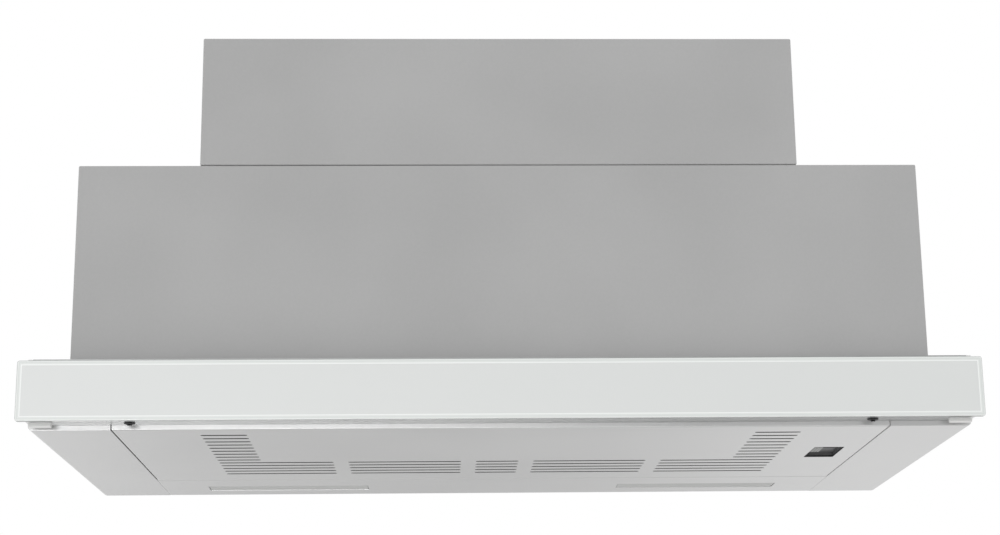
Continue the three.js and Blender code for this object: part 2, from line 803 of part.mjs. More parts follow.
function switchKnob() {
  const floor = sheet + seat + switchRecess;
  const low = floor - seat - knobRise;
  const middle = knobFront + knobLength / 2;
  const stemHalf = knobStem / 2;
  const cap = slab([knobLeft, knobLeft + knobWidth], [knobFront, knobFront + knobLength],
    [low, floor - seat]);
  const grooves = [-1, 0, 1].map((i) => {
    const x = knobLeft + knobWidth / 2 + i * 2 * sheet;
    return slab([x - seat, x + seat], [knobFront - sheet, knobFront + knobLength + sheet],
      [low - sheet, low + seat]);
  });
  const stem = slab([knobLeft + knobWidth / 2 - stemHalf, knobLeft + knobWidth / 2 + stemHalf],
    [middle - stemHalf, middle + stemHalf], [floor - 2 * seat, floor + knobStemLength]);
  return cut(join(cap, stem), ...grooves);
}

// ---------------------------------------------------------------- blower

function scrollRadius(degrees) {
  const share = (degrees - scrollTongue) / (360 - scrollTongue);
  return THREE.MathUtils.lerp(scrollStart, scrollEnd, share);
}

// the spiral and the outlet duct above it, grown outwards by offset
function scrollOutline(offset, top) {
  const points = [];
  for (let degrees = scrollTongue; degrees <= 360; degrees += scrollStep) {
    const angle = THREE.MathUtils.degToRad(degrees);
    const radius = scrollRadius(degrees) + offset;
    points.push(new THREE.Vector2(
      fanBack + radius * Math.cos(angle),
      fanHeight + radius * Math.sin(angle),
    ));
  }
  points.push(new THREE.Vector2(outletRear + offset, top));
  points.push(new THREE.Vector2(outletFront - offset, top));
  return new THREE.Shape(points);
}

function blowerHalf() {
  const top = upperTop - sheet - seat;
  const outer = drawAcross(scrollOutline(scrollWall, top), [seat / 2, scrollHalfWidth]);
  const inner = drawAcross(scrollOutline(0, top + sheet), [-sheet, scrollHalfWidth - scrollWall]);
  const flangeReach = scrollHalfWidth + outletFlange;
  const flange = slab([seat / 2, flangeReach],
    [outletFront - scrollWall - outletFlange, outletRear + scrollWall + outletFlange],
    [top - scrollWall, top]);
  const duct = slab([-sheet, scrollHalfWidth - scrollWall], [outletFront, outletRear],
    [top - 2 * scrollWall, top + sheet]);
  const mouth = rod('x', inletRadius, [0, scrollHalfWidth + sheet], [0, fanBack, fanHeight], 40);
  const face = scrollHalfWidth;
  const bell = turn([
    [inletRadius, face - scrollWall - inletLip / 2],
    [inletRadius + scrollWall, face - scrollWall - inletLip / 2],
    [inletRadius + scrollWall, face - scrollWall / 2],
    [inletRadius + inletLip + scrollWall, face - scrollWall / 2],
    [inletRadius + inletLip, face + scrollWall / 2],
    [inletRadius, face - scrollWall],
    [inletRadius, face - scrollWall - inletLip / 2],
  ], 'x', [0, fanBack, fanHeight], 40);
  return join(cut(join(outer, flange), inner, duct, mouth), bell);
}

// one forward-curved blade: two arcs between the blade ring's inner and outer radius
function bladeOutline(angle) {
  const chord = bladeDepth;
  const inner = fanRadius - bladeDepth + bladeGauge / 2;
  const steps = 3;
  const side = (offset, order) => order.map((i) => {
    const share = i / steps;
    const along = inner + share * (chord - bladeGauge);
    const bow = bladeLean * chord * share * share + offset;
    return new THREE.Vector2(along, bow).rotateAround(new THREE.Vector2(), angle);
  });
  const outward = side(-bladeGauge / 2, [0, 1, 2, 3]);
  const inward = side(bladeGauge / 2, [3, 2, 1, 0]);
  return new THREE.Shape([...outward, ...inward]);
}

function impeller() {
  const endFace = fanHalfWidth;
  const blades = Array.from({ length: bladeCount }, (_, i) => (
    drawAcross(bladeOutline((i / bladeCount) * 2 * Math.PI), [-endFace + sheet, endFace - sheet])
  ));
  const ring = (from, to) => turn([
    [fanRadius - bladeDepth, from],
    [fanRadius + bladeGauge, from],
    [fanRadius + bladeGauge, to],
    [fanRadius - bladeDepth, to],
    [fanRadius - bladeDepth, from],
  ], 'x', [0, 0, 0], bladeCount);
  const bore = shaftRadius + seat;
  const hub = turn([
    [bore, -hubLength / 2],
    [hubRadius, -hubLength / 2],
    [hubRadius, -fanDisc / 2],
    [fanRadius - bladeGauge, -fanDisc / 2],
    [fanRadius - bladeGauge, fanDisc / 2],
    [hubRadius, fanDisc / 2],
    [hubRadius, hubLength / 2],
    [bore, hubLength / 2],
    [bore, -hubLength / 2],
  ], 'x', [0, 0, 0], bladeCount);
  return join(hub, ring(-endFace, -endFace + fanRing), ring(endFace - fanRing, endFace), ...blades)
    .translate(0, fanBack, fanHeight);
}

const motorFront = hubLength / 2 + 2 * seat;
const motorRear = scrollHalfWidth + scrollWall / 2;

function motorShaft() {
  const from = -hubLength / 2 - 2 * sheet;
  return rod('x', shaftRadius, [from, from + shaftLength], [0, fanBack, fanHeight], 20);
}

function motor() {
  const bore = shaftRadius + seat;
  const boreEnd = shaftLength - hubLength / 2 - 2 * sheet + 2 * seat;
  const chamfer = motorBoss / 3;
  return turn([
    [0, boreEnd],
    [bore, boreEnd],
    [bore, motorFront],
    [motorBoss, motorFront],
    [motorBoss, motorFront + motorShoulder],
    [motorRadius - chamfer, motorFront + motorShoulder],
    [motorRadius, motorFront + motorShoulder + chamfer],
    [motorRadius, motorRear - motorShoulder],
    [motorRadius - chamfer, motorRear - motorShoulder + chamfer],
    [bracketPlate - chamfer, motorRear - motorShoulder + chamfer],
    [bracketPlate - chamfer, motorRear],
    [0, motorRear],
  ], 'x', [0, fanBack, fanHeight], 32);
}

function motorBracket() {
  const from = motorRear + seat;
  const to = from + bracketGauge;
  const place = [0, fanBack, fanHeight];
  const plate = rod('x', bracketPlate, [from, to], place, 32);
  const arms = [0, 1, 2].map((i) => (
    slab([from, to], [-bracketArm / 2, bracketArm / 2], [0, inletRadius + bracketLap])
      .rotateX((i / 3) * 2 * Math.PI)
      .translate(...place)
  ));
  return join(plate, ...arms);
}

// ---------------------------------------------------------------- outlet with its two flaps

const collarBottom = upperTop + seat;
const collarInner = collarRadius - collarWall;
// the front flap's knuckles; the rear flap's lie beside them
const knuckleStarts = [knuckleFirst, knuckleFirst + knuckleSpacing];

function outletCollar() {
  const flangeTop = collarBottom + collarFlangeGauge;
  const top = collarBottom + collarHeight;
  const ledgeTop = flapBottom - seat;
  const ring = turn([
    [collarInner - collarLedge, flangeTop],
    [collarInner, collarBottom],
    [collarRadius + collarFlange, collarBottom],
    [collarRadius + collarFlange, flangeTop],
    [collarRadius, flangeTop],
    [collarRadius, top - 2 * collarWall],
    [collarRadius + collarWall / 2, top - collarWall],
    [collarRadius, top],
    [collarInner, top],
    [collarInner, ledgeTop],
    [collarInner - collarLedge, ledgeTop],
    [collarInner - collarLedge, flangeTop],
  ], 'z', [0, outletCentre, 0], 48);
  const eye = new THREE.Shape();
  eye.moveTo(outletCentre - knuckleRadius, ledgeTop - sheet);
  eye.lineTo(outletCentre + knuckleRadius, ledgeTop - sheet);
  eye.lineTo(outletCentre + knuckleRadius, rodHeight);
  eye.absarc(outletCentre, rodHeight, knuckleRadius, 0, Math.PI, false);
  const boss = drawAcross(eye, [collarInner - rodBoss, collarInner + collarWall / 2], 6);
  const bosses = [boss, mirrored(boss)];
  const bore = rod('x', rodRadius + seat, [-collarInner, collarInner], [0, outletCentre, rodHeight]);
  return cut(join(ring, ...bosses), bore);
}

function flapRod() {
  const half = collarInner - seat;
  return rod('x', rodRadius, [-half, half], [0, outletCentre, rodHeight]);
}

// front is -1 for the flap on the cooking side, +1 for the one on the wall side
function outletFlap(front) {
  const starts = knuckleStarts.map((x) => (front < 0 ? x : x + knuckleLength + 2 * seat));
  const others = knuckleStarts.map((x) => (front < 0 ? x + knuckleLength + 2 * seat : x));
  const disc = new THREE.Shape();
  disc.absarc(0, outletCentre, collarInner - sheet, 0, Math.PI * 2, false);
  const plate = raise(disc, [flapBottom, flapBottom + flapGauge], 24);
  const reach = collarRadius;
  const room = knuckleRadius + runningGap;
  const ownSide = (from, to) => (
    front < 0 ? [outletCentre - to, outletCentre - from] : [outletCentre + from, outletCentre + to]
  );
  const away = slab([-reach, reach], ownSide(-reach, flapGap),
    [flapBottom - sheet, flapBottom + 2 * sheet + flapGauge]);
  const hollow = (from, to) => slab([from, to], [outletCentre - room, outletCentre + room],
    [flapBottom - sheet, rodHeight + 2 * knuckleRadius]);
  const bosses = [
    hollow(-reach, -collarInner + rodBoss + runningGap),
    hollow(collarInner - rodBoss - runningGap, reach),
  ];
  const beside = others.map((x) => hollow(x - seat, x + knuckleLength + seat));
  const barrels = starts.map((x) => (
    rod('x', knuckleRadius, [x, x + knuckleLength], [0, outletCentre, rodHeight], 16)
  ));
  const bore = rod('x', rodRadius + seat, [-reach, reach], [0, outletCentre, rodHeight]);
  const half = cut(plate, away, ...bosses, ...beside);
  const webs = starts.map((x) => (
    slab([x, x + knuckleLength], ownSide(flapGap, room), [flapBottom, rodHeight])
  ));
  return cut(join(half, ...webs, ...barrels), bore);
}

// ---------------------------------------------------------------- electrics

function capacitor() {
  const x = -upperInner + seat + capacitorRadius;
  const top = upperTop - 3 * capacitorRadius / 4;
  const bottom = top - capacitorLength;
  const edge = capacitorRadius / 8;
  return turn([
    [0, bottom],
    [capacitorRadius - edge, bottom],
    [capacitorRadius, bottom + edge],
    [capacitorRadius, top - edge],
    [capacitorRadius - edge, top],
    [0, top],
  ], 'z', [x, casingFront + 3 * capacitorRadius, 0], 24);
}

function terminalBox() {
  const rear = wallInner - seat;
  const right = upperInner - 2 * ledgeWidth;
  const top = upperTop - 2 * ledgeWidth;
  const outline = roundedRectangle([right - terminalWidth, right], [top - terminalHeight, top],
    terminalCorner);
  const body = drawBack(outline, [rear - terminalDepth, rear], 3);
  const groove = slab([right - terminalWidth + 2 * sheet, right - 2 * sheet],
    [rear - terminalDepth - sheet, rear - terminalDepth + sheet],
    [top - terminalHeight / 2 - sheet / 2, top - terminalHeight / 2 + sheet / 2]);
  return cut(body, groove);
}

function cableGland() {
  const low = upperTop - ledgeWidth;
  const seatHeight = upperTop + seat;
  const top = seatHeight + 2 * glandFlange / 3;
  return turn([
    [glandBore, low],
    [glandRadius, low],
    [glandRadius, seatHeight],
    [glandFlange, seatHeight],
    [glandFlange, seatHeight + sheet],
    [glandFlange - 3 * sheet, top],
    [glandBore, top],
    [glandBore, low],
  ], 'z', [glandOffset, glandBack, 0], 20);
}

function microSwitch() {
  const bottom = sheet + seat;
  const front = armRear + 2 * seat + 2 * sheet;
  const body = slab([-microHalf, microHalf], [front, front + microDepth], [bottom, bottom + microHeight]);
  const plunger = rod('z', plungerRadius, [0, 3 * sheet], [0, 0, 0], 12)
    .rotateX(Math.PI / 2)
    .translate(0, front + sheet / 2, bottom + microHeight - 3 * sheet);
  return join(body, plunger);
}

// ---------------------------------------------------------------- finishes and assembly

const finish = {
  casing: { color: 0xa7a7a7, roughness: 0.55, metalness: 0.35 },
  steel: { color: 0xc3c3c2, roughness: 0.38, metalness: 0.8 },
  zinc: { color: 0xb4b7b8, roughness: 0.45, metalness: 0.85 },
  glass: { color: 0xe4e8e6, roughness: 0.06, metalness: 0 },
  aluminium: { color: 0xc9cbcd, roughness: 0.42, metalness: 0.9 },
  blackPlastic: { color: 0x1d1d1e, roughness: 0.5, metalness: 0 },
  greyPlastic: { color: 0x8f908f, roughness: 0.45, metalness: 0 },
  whitePlastic: { color: 0xe6e6e2, roughness: 0.4, metalness: 0 },
  diffuser: { color: 0xdfe0df, roughness: 0.6, metalness: 0 },
  motor: { color: 0x55585b, roughness: 0.5, metalness: 0.6 },
};

const hood = new THREE.Group();
const datum = new THREE.Group();
datum.position.y = -hoodDepth / 2;
hood.add(datum);

function place(name, geometry, look) {
  const mesh = new THREE.Mesh(geometry, new THREE.MeshStandardMaterial(finish[look]));
  mesh.name = name;
  datum.add(mesh);
}

function placePair(name, geometry, look) {
  place(`${name}_right`, geometry, look);
  place(`${name}_left`, mirrored(geometry), look);
}

place('lower_casing', lowerCasing(), 'casing');
place('upper_casing', upperCasing(), 'casing');
placePair('base_wing', wing(), 'steel');
place('lamp_panel', lampPanel(), 'steel');
placePair('lamp_diffuser', lampDiffuser(), 'diffuser');
placePair('lamp_housing', lampHousing(), 'aluminium');
place('suction_plate', suctionPlate(), 'zinc');
placePair('inner_filter', innerFilter(), 'aluminium');
placePair('filter_latch', filterLatch(), 'blackPlastic');

place('glass_front', glassFront(), 'glass');
place('front_profile', frontProfile(), 'steel');
placePair('profile_end_cap', profileEndCap(), 'greyPlastic');
placePair('profile_screw', profileScrew(), 'zinc');
placePair('slider_arm', sliderArm(), 'zinc');
place('slider_cover', sliderCover(), 'steel');
place('slider_rear_bar', sliderRearBar(), 'zinc');
placePair('rail_outer', outerRail(), 'zinc');
placePair('rail_middle', middleRail(), 'zinc');
placePair('rail_inner', innerRail(), 'zinc');

place('filter_panel', filterPanel(), 'steel');
place('panel_filter', panelFilter(), 'aluminium');
placePair('panel_hinge_pin', hingePin(), 'zinc');
placePair('panel_catch', panelCatch(), 'blackPlastic');
place('switch_housing', switchHousing(), 'blackPlastic');
place('switch_knob', switchKnob(), 'greyPlastic');

placePair('blower_housing', blowerHalf(), 'blackPlastic');
place('impeller', impeller(), 'greyPlastic');
place('motor_shaft', motorShaft(), 'zinc');
place('motor', motor(), 'motor');
place('motor_bracket', motorBracket(), 'zinc');

place('outlet_collar', outletCollar(), 'blackPlastic');
place('flap_rod', flapRod(), 'zinc');
place('outlet_flap_front', outletFlap(-1), 'blackPlastic');
place('outlet_flap_rear', outletFlap(1), 'blackPlastic');

place('capacitor', capacitor(), 'whitePlastic');
place('terminal_box', terminalBox(), 'whitePlastic');
place('cable_gland', cableGland(), 'blackPlastic');
place('door_switch', microSwitch(), 'blackPlastic');

export default hood;
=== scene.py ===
# Looks of a pull-out range hood for a 60 cm cabinet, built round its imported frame.
# Metres, +Z up, +X to the right seen from the front, +Y towards the wall.
import json
import math

import bmesh
import bpy
from mathutils import Matrix, Vector

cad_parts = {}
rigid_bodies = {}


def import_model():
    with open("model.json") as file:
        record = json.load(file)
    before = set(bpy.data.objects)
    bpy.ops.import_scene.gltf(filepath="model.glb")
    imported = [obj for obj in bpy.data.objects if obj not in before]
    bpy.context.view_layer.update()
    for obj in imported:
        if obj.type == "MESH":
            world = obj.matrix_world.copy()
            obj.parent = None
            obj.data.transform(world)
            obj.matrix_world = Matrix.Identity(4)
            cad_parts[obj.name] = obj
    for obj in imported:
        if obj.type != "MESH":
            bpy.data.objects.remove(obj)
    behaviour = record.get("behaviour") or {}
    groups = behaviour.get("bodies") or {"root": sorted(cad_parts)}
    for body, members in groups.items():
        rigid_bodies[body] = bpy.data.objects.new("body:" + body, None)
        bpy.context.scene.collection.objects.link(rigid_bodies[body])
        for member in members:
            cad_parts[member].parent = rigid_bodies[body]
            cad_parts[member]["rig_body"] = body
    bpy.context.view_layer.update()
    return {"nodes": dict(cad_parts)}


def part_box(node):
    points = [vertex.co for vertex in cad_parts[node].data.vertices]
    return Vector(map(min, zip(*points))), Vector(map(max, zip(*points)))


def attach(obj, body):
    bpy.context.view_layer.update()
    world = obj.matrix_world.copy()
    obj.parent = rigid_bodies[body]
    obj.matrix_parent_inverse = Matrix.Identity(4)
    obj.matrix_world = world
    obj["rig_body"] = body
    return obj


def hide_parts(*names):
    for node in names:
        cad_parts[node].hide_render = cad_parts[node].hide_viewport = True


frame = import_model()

MM = 0.001
MERGE = 0.002 * MM                # corners closer than this are one corner
CLOSE = 0.02 * MM                 # a corner lies on a plane within this
FLAT = math.radians(0.3)          # facets that turn less than this are one flat face
SHARP = math.radians(32)          # edges that turn more than this are rounded
QUARTERS = (45, 135, 225, 315)    # angles of four screws round an axis, in degrees

# ---------------------------------------------------------------- materials


def linear(hex_colour):
    """An sRGB hex colour as linear red, green, blue and alpha."""
    channels = [int(hex_colour[i:i + 2], 16) / 255 for i in (1, 3, 5)]
    return (*[c / 12.92 if c <= 0.04045 else ((c + 0.055) / 1.055) ** 2.4 for c in channels], 1)


def add(tree, kind, settings=None, links=None):
    """One node with its settings, and links from other nodes' outputs into its inputs."""
    node = tree.nodes.new(kind)
    for name, value in (settings or {}).items():
        if isinstance(name, int) or name in node.inputs:
            node.inputs[name].default_value = value
        else:
            setattr(node, name, value)
    for name, source in (links or {}).items():
        tree.links.new(source, node.inputs[name])
    return node


def material(name, **settings):
    """A new material with one shader, and the piece's own coordinates."""
    made = bpy.data.materials.new(name)
    made.use_nodes = True
    tree = made.node_tree
    shader = tree.nodes["Principled BSDF"]
    for key, value in settings.items():
        shader.inputs[key.replace("_", " ")].default_value = value
    place = add(tree, "ShaderNodeTexCoord").outputs["Object"]
    return made, tree, shader, place


def grain(millimetres):
    """Texture scale that gives features of about this size."""
    return 1 / (millimetres * MM)


def noise(tree, place, size, detail):
    """Soft noise with features of about this size in millimetres."""
    return add(tree, "ShaderNodeTexNoise", {"Scale": grain(size), "Detail": detail},
               {"Vector": place}).outputs["Fac"]


def cells(tree, place, size, randomness=1.0):
    """Cells of about this size in millimetres."""
    return add(tree, "ShaderNodeTexVoronoi", {"Scale": grain(size), "Randomness": randomness},
               {"Vector": place})


def stretched(tree, place, scale, turn=0.0):
    """Coordinates scaled along X, Y and Z, and turned about Z by degrees."""
    return add(tree, "ShaderNodeMapping", {"Scale": scale, "Rotation": (0, 0, math.radians(turn))},
               {"Vector": place}).outputs["Vector"]


def tint(tree, shader, source, dark, light, start=0.0, end=1.0):
    """Base colour that goes from dark to light while the source goes from start to end."""
    ramp = add(tree, "ShaderNodeValToRGB", None, {"Fac": source})
    for index, (position, colour) in enumerate(((start, dark), (end, light))):
        ramp.color_ramp.elements[index].position = position
        ramp.color_ramp.elements[index].color = linear(colour)
    tree.links.new(ramp.outputs["Color"], shader.inputs["Base Color"])


def gloss(tree, shader, source, smooth, rough):
    """Roughness that follows the source between two values."""
    level = add(tree, "ShaderNodeMapRange", {"To Min": smooth, "To Max": rough}, {"Value": source})
    tree.links.new(level.outputs["Result"], shader.inputs["Roughness"])


def bump(tree, shader, source, strength, millimetres):
    """A fine relief of this depth from the source."""
    relief = add(tree, "ShaderNodeBump", {"Strength": strength, "Distance": millimetres * MM},
                 {"Height": source})
    tree.links.new(relief.outputs["Normal"], shader.inputs["Normal"])


def mixed_in(tree, fine, share, broad):
    """A broad pattern with a share of a fine one added."""
    return add(tree, "ShaderNodeMath", {"operation": "MULTIPLY_ADD", 1: share},
               {0: fine, 2: broad}).outputs[0]


def powder_coated_steel():
    """Silver-grey polyester powder baked on sheet steel: matt, even, with a faint orange peel."""
    made, tree, shader, place = material("powder_coated_steel", Specular_IOR_Level=0.35)
    # the powder's own grain is about 0.1 mm; it is drawn at 1.5 mm so that it shows
    cloud = noise(tree, place, 120, 2)
    speck = noise(tree, place, 1.5, 3)
    tint(tree, shader, mixed_in(tree, speck, 0.3, cloud), "#a8a8a8", "#afafaf", 0.45, 0.85)
    gloss(tree, shader, speck, 0.42, 0.56)
    bump(tree, shader, noise(tree, place, 2.2, 1), 0.25, 0.03)
    return made


def satin_lacquered_steel():
    """Silver lacquer full of metal flake on sheet steel: mirrors its surroundings very softly."""
    made, tree, shader, place = material("satin_lacquered_steel", Metallic=0.75)
    cloud = noise(tree, place, 150, 2)
    # flakes are about 0.05 mm; they are drawn at 0.8 mm so that they show
    flake = cells(tree, place, 0.8).outputs["Distance"]
    tint(tree, shader, mixed_in(tree, flake, 0.16, cloud), "#cdcdcd", "#d4d4d4", 0.4, 0.8)
    gloss(tree, shader, cloud, 0.26, 0.36)
    return made


def painted_slot_shade_steel():
    """Walls of slots and windows: bare sheared steel, darkened to near black as painted shade, with
    rough streaks through the sheet.
    """
    made, tree, shader, place = material("painted_slot_shade_steel", Metallic=0.6, Roughness=0.6)
    streak = noise(tree, stretched(tree, place, (1, 1, 0.1)), 0.5, 2)
    tint(tree, shader, streak, "#2c2d2e", "#434445")
    return made


def galvanised_steel():
    """Hot-dip galvanised sheet: dull zinc crystals of 5 to 10 mm, each a little lighter or darker."""
    made, tree, shader, place = material("galvanised_steel", Metallic=0.9)
    shade = add(tree, "ShaderNodeSeparateColor", None, {"Color": cells(tree, place, 7).outputs["Color"]})
    tint(tree, shader, shade.outputs["Red"], "#a9adaf", "#c6c9ca")
    gloss(tree, shader, shade.outputs["Green"], 0.34, 0.5)
    return made


def lined_metal(name, metallic, along, size, dark, light, smooth, rough):
    """Rolled, drawn or extruded metal: fine lines along the axis whose scale is small."""
    made, tree, shader, place = material(name, Metallic=metallic)
    lines = noise(tree, stretched(tree, place, along), size, 2)
    tint(tree, shader, lines, dark, light)
    gloss(tree, shader, lines, smooth, rough)
    return made


def layered_mesh():
    """The depth of a mesh filter, several expanded layers seen through the first: lighter strands round
    dark diamonds of painted shade.
    """
    made, tree, shader, place = material("layered_mesh", Metallic=0.8, Roughness=0.5)
    depth = cells(tree, stretched(tree, place, (1, 1.6, 1), 40), 4, 0.35).outputs["Distance"]
    tint(tree, shader, depth, "#3c3e40", "#9a9da0", 0.25, 0.6)
    bump(tree, shader, depth, 0.6, 0.6)
    return made


def moulded_plastic(name, dark, light, roughness):
    """Injection-moulded plastic from a spark-eroded tool: fine pits, slightly uneven gloss."""
    made, tree, shader, place = material(name, IOR=1.5)
    # the pits are about 0.1 mm; they are drawn at 0.7 mm so that they show
    pits = noise(tree, place, 0.7, 3)
    tint(tree, shader, noise(tree, place, 40, 2), dark, light, 0.3, 0.7)
    gloss(tree, shader, pits, roughness - 0.06, roughness + 0.06)
    bump(tree, shader, pits, 0.3, 0.03)
    return made


def back_painted_glass(name, hex_colour):
    """Float glass painted on its back: the paint's colour under a hard, clear, glossy layer."""
    made, tree, shader, place = material(name, IOR=1.52, Coat_Weight=1.0, Coat_Roughness=0.02,
                                         Coat_IOR=1.52, Roughness=0.35)
    # inputs 6 and 7 are the two colours that are mixed
    colour = add(tree, "ShaderNodeMix", {
        "data_type": "RGBA", 6: linear(hex_colour), 7: linear("#cfd8d5")})
    tone = add(tree, "ShaderNodeMapRange", {"To Min": 0.0, "To Max": 0.08},
               {"Value": noise(tree, place, 90, 1)})
    tree.links.new(tone.outputs["Result"], colour.inputs[0])
    tree.links.new(colour.outputs[2], shader.inputs["Base Color"])
    return made


def frosted_polycarbonate():
    """Opal lamp cover: white filler scatters the light inside, the outer face is frosted."""
    made, tree, shader, place = material("frosted_polycarbonate", IOR=1.58, Subsurface_Weight=0.25,
                                         Subsurface_Scale=0.003, Subsurface_Radius=(1, 1, 1))
    frost = noise(tree, place, 0.6, 2)
    # the grey is partly the unlit cover's own tone and partly painted shade of the recess it sits in
    tint(tree, shader, frost, "#b2b3b2", "#bfc0bf")
    gloss(tree, shader, frost, 0.5, 0.65)
    return made


def blackened_steel():
    """Black-oxide screws: nearly black, oily sheen, worn a little lighter."""
    made, tree, shader, place = material("blackened_steel", Metallic=0.8, Roughness=0.42)
    tint(tree, shader, noise(tree, place, 1, 3), "#151516", "#4a4a4c", 0.35, 0.8)
    return made


def enamelled_motor_steel():
    """Motor shell: stamped steel under thin dark grey enamel, slightly blotchy."""
    made, tree, shader, place = material("enamelled_motor_steel", Metallic=0.55)
    blotch = noise(tree, place, 6, 4)
    tint(tree, shader, blotch, "#4b4e51", "#6d7073")
    gloss(tree, shader, blotch, 0.35, 0.55)
    return made


casing_paint = powder_coated_steel()
base_lacquer = satin_lacquered_steel()
slot_shade_finish = painted_slot_shade_steel()
galvanised = galvanised_steel()
# drawn along Y, with a cool bright plating
bright_zinc = lined_metal("zinc_plated_steel", 1.0, (1, 0.02, 1), 0.8, "#aeb2b5", "#d0d3d5", 0.22, 0.36)
# as it comes from the mill, rolled along X
aluminium = lined_metal("mill_aluminium", 1.0, (0.04, 1, 1), 0.9, "#c2c5c8", "#dcdee0", 0.28, 0.42)
# an anodised channel, with die lines along X
channel_aluminium = lined_metal("anodised_aluminium", 0.85, (0.02, 1, 1), 0.6, "#a5a6a6", "#b0b1b1",
                                0.3, 0.42)
filter_depth_shade = layered_mesh()
black_polypropylene = moulded_plastic("black_polypropylene", "#161617", "#1e1e1f", 0.5)
grey_abs = moulded_plastic("grey_abs", "#8c8d8c", "#949594", 0.42)
graphite_abs = moulded_plastic("graphite_abs", "#505051", "#5a5a5b", 0.45)
white_polyamide = moulded_plastic("white_polyamide", "#dcdcd7", "#e8e8e4", 0.45)
white_abs = moulded_plastic("white_abs", "#e8e8e7", "#eeeeed", 0.4)
glass_paint = back_painted_glass("back_painted_glass", "#dfe1e0")
glass_border = back_painted_glass("bare_glass_border", "#e5e8e6")
# also the painted highlight on the glass's lower front arris
glass_line = back_painted_glass("bright_glass_line", "#f8faf9")
glass_shade = back_painted_glass("shaded_glass_line", "#d9dddb")
glass_edge = back_painted_glass("ground_glass_edge", "#8d9491")
glass_under_edge = back_painted_glass("shaded_ground_edge", "#5d6361")
lamp_cover = frosted_polycarbonate()
black_screw = blackened_steel()
motor_enamel = enamelled_motor_steel()

# ---------------------------------------------------------------- shaping


def near(a, b):
    """True for two coordinates that are the same but for rounding."""
    return abs(a - b) < CLOSE


def merged_copy(node):
    """A CAD node's mesh with its loose triangles joined and its flat faces made whole."""
    shape = bmesh.new()
    shape.from_mesh(frame["nodes"][node].data)
    bmesh.ops.remove_doubles(shape, verts=shape.verts, dist=MERGE)
    bmesh.ops.dissolve_limit(shape, angle_limit=FLAT, verts=shape.verts, edges=shape.edges)
    return shape


def sharp_edges(shape):
    """The edges of a shape that a real piece would have rounded or bent."""
    return [edge for edge in shape.edges if edge.is_manifold and edge.calc_face_angle() > SHARP]


def round_off(shape, edges, radius, segments):
    """Rounds edges of a shape to a radius."""
    bmesh.ops.bevel(shape, geom=edges, offset=radius, offset_type="OFFSET", affect="EDGES",
                    segments=segments, profile=0.5, material=-1, clamp_overlap=True)


def piece(shape, name, finishes, body, stands_for=()):
    """Makes a shape into a piece of the hood that rides on a body."""
    for face in shape.faces:
        face.smooth = True
    for edge in sharp_edges(shape):
        edge.smooth = False
    mesh = bpy.data.meshes.new(name)
    shape.to_mesh(mesh)
    shape.free()
    made = bpy.data.objects.new(name, mesh)
    bpy.context.scene.collection.objects.link(made)
    for finish in finishes:
        mesh.materials.append(finish)
    made.modifiers.new("even_shading", "WEIGHTED_NORMAL").keep_sharp = True
    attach(made, body)
    if stands_for:
        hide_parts(*stands_for)
    return made


def dressed(node, finish, edge=0.25 * MM, segments=2, bends=None, bend_radius=1.0 * MM):
    """A piece that stands for a CAD node: the same form with rounded edges and real bends."""
    shape = merged_copy(node)
    if bends:
        chosen = [e for e in sharp_edges(shape) if all(bends(v.co) for v in e.verts)]
        round_off(shape, chosen, bend_radius, 4)
    if edge:
        round_off(shape, sharp_edges(shape), edge, segments)
    body = frame["nodes"][node]["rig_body"]
    return piece(shape, node + "_finished", [finish], body, [node])


def turned(profile, segments=24, closed=True):
    """A body turned about Z from radius and height pairs, and closed at the axis."""
    shape = bmesh.new()
    points = [shape.verts.new((radius, 0, height)) for radius, height in profile]
    line = [shape.edges.new(ends) for ends in zip(points, points[1:])]
    bmesh.ops.spin(shape, geom=points + line, cent=(0, 0, 0), axis=(0, 0, 1), angle=2 * math.pi,
                   steps=segments, use_merge=True)
    bmesh.ops.remove_doubles(shape, verts=shape.verts, dist=MERGE)
    if closed:
        bmesh.ops.recalc_face_normals(shape, faces=shape.faces)
    return shape


def cross_screw(radius, height, shank_radius, shank):
    """A pan head with a cross recess, its seat at z = 0 and its shank below."""
    top = 0.62 * radius
    shape = turned([(top, height), (0.84 * radius, 0.82 * height), (radius, 0.4 * height), (radius, 0),
                    (shank_radius, 0), (shank_radius, -shank), (0, -shank)], closed=False)
    rim = [edge for edge in shape.edges if edge.is_boundary]
    arm, half = 0.44 * radius, 0.13 * radius
    corner = [(half, arm), (half, half), (arm, half)]
    cross = [(x, y) for x, y in corner] + [(y, -x) for x, y in corner]
    cross += [(-x, -y) for x, y in corner] + [(-y, x) for x, y in corner]
    points = [shape.verts.new((x, y, height)) for x, y in cross]
    recess = [shape.edges.new((a, b)) for a, b in zip(points, points[1:] + points[:1])]
    bmesh.ops.bridge_loops(shape, edges=rim + recess)
    floor = shape.faces.new(points)
    bmesh.ops.recalc_face_normals(shape, faces=shape.faces)
    bmesh.ops.inset_individual(shape, faces=[floor], thickness=0.3 * half, depth=-0.8 * height)
    return shape


def set_on(shape, place, normal, spin=0.0):
    """Turns a shape made along +Z to point along a normal, and sets its seat at a place."""
    turn = Vector((0, 0, 1)).rotation_difference(Vector(normal)).to_matrix().to_4x4()
    bmesh.ops.transform(shape, verts=shape.verts, matrix=(
        Matrix.Translation(place) @ turn @ Matrix.Rotation(spin, 4, "Z")))
    return shape


def gathered(shapes):
    """Several loose shapes as one."""
    whole = bmesh.new()
    for shape in shapes:
        loose = bpy.data.meshes.new("loose")
        shape.to_mesh(loose)
        shape.free()
        whole.from_mesh(loose)
        bpy.data.meshes.remove(loose)
    return whole


def pair(name):
    """The names of a piece's left and right copies."""
    return [name + "_left", name + "_right"]


# ---------------------------------------------------------------- casings and base


def box_bends(node):
    """True for the corners of a box's own upright edges and its top edges."""
    low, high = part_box(node)

    def on_bend(point):
        across = near(point.x, low.x) or near(point.x, high.x)
        along = near(point.y, low.y) or near(point.y, high.y)
        return (across and along) or (near(point.z, high.z) and (across or along))

    return on_bend


